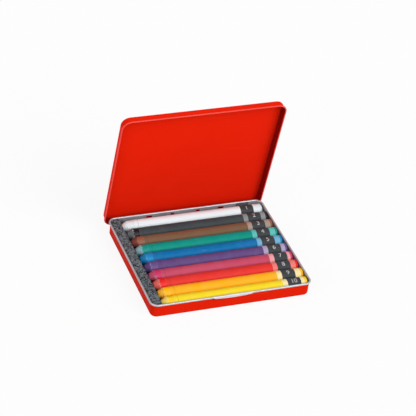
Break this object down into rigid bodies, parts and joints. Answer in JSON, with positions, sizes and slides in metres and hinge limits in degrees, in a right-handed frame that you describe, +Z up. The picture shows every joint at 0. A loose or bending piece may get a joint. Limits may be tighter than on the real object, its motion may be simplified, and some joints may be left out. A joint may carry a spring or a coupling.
{
  "type": "wax pastel tin",
  "caption": "Flat red hinged tin, lid standing open, holding a row of paper-wrapped wax pastels against a foam pad.",
  "frame": {"origin": "Centre of the flat underside of the base tray.", "axes": "+X along the pastels, from their points to their flat ends; +Y from the front wall to the hinge; +Z up."},
  "size_m": [0.117, 0.1059, 0.1018],
  "materials": {
    "lacquered_tinplate": "gloss red lacquer on tinplate",
    "steel_wire": "drawn wire",
    "foam": "open-cell foam, speckled grey",
    "wax_white": "satin wax",
    "paper_white": "coated printed paper",
    "wax_black": "satin wax",
    "paper_black": "coated printed paper",
    "wax_brown": "satin wax",
    "paper_brown": "coated printed paper",
    "wax_green": "satin wax",
    "paper_green": "coated printed paper",
    "wax_blue": "satin wax",
    "paper_blue": "coated printed paper",
    "wax_violet": "satin wax",
    "paper_violet": "coated printed paper",
    "wax_pink": "satin wax",
    "paper_pink": "coated printed paper",
    "wax_red": "satin wax",
    "paper_red": "coated printed paper",
    "wax_orange": "satin wax",
    "paper_orange": "coated printed paper",
    "wax_yellow": "satin wax",
    "paper_yellow": "coated printed paper"
  },
  "bodies": {
    "tin": {"base_tray": "lacquered_tinplate", "hinge_pin_left": "steel_wire", "hinge_pin_right": "steel_wire", "foam_pad": "foam", "foam_sheet": "foam"},
    "lid": {"lid": "lacquered_tinplate"},
    "pastel_white": {"wax_stick_white": "wax_white", "wrapper_white": "paper_white"},
    "pastel_black": {"wax_stick_black": "wax_black", "wrapper_black": "paper_black"},
    "pastel_brown": {"wax_stick_brown": "wax_brown", "wrapper_brown": "paper_brown"},
    "pastel_green": {"wax_stick_green": "wax_green", "wrapper_green": "paper_green"},
    "pastel_blue": {"wax_stick_blue": "wax_blue", "wrapper_blue": "paper_blue"},
    "pastel_violet": {"wax_stick_violet": "wax_violet", "wrapper_violet": "paper_violet"},
    "pastel_pink": {"wax_stick_pink": "wax_pink", "wrapper_pink": "paper_pink"},
    "pastel_red": {"wax_stick_red": "wax_red", "wrapper_red": "paper_red"},
    "pastel_orange": {"wax_stick_orange": "wax_orange", "wrapper_orange": "paper_orange"},
    "pastel_yellow": {"wax_stick_yellow": "wax_yellow", "wrapper_yellow": "paper_yellow"}
  },
  "joints": [
    {"name": "lid_hinge", "type": "hinge", "parent": "tin", "child": "lid", "pos_m": [0, 0.04905, 0.0037], "axis": [-1, 0, 0], "range_deg": [-78, 32]},
    {"name": "lift_white", "type": "slide", "parent": "tin", "child": "pastel_white", "axis": [0, 0, 1], "range_m": [0, 0.014]},
    {"name": "lift_black", "type": "slide", "parent": "tin", "child": "pastel_black", "axis": [0, 0, 1], "range_m": [0, 0.014]},
    {"name": "lift_brown", "type": "slide", "parent": "tin", "child": "pastel_brown", "axis": [0, 0, 1], "range_m": [0, 0.014]},
    {"name": "lift_green", "type": "slide", "parent": "tin", "child": "pastel_green", "axis": [0, 0, 1], "range_m": [0, 0.014]},
    {"name": "lift_blue", "type": "slide", "parent": "tin", "child": "pastel_blue", "axis": [0, 0, 1], "range_m": [0, 0.014]},
    {"name": "lift_violet", "type": "slide", "parent": "tin", "child": "pastel_violet", "axis": [0, 0, 1], "range_m": [0, 0.014]},
    {"name": "lift_pink", "type": "slide", "parent": "tin", "child": "pastel_pink", "axis": [0, 0, 1], "range_m": [0, 0.014]},
    {"name": "lift_red", "type": "slide", "parent": "tin", "child": "pastel_red", "axis": [0, 0, 1], "range_m": [0, 0.014]},
    {"name": "lift_orange", "type": "slide", "parent": "tin", "child": "pastel_orange", "axis": [0, 0, 1], "range_m": [0, 0.014]},
    {"name": "lift_yellow", "type": "slide", "parent": "tin", "child": "pastel_yellow", "axis": [0, 0, 1], "range_m": [0, 0.014]}
  ]
}
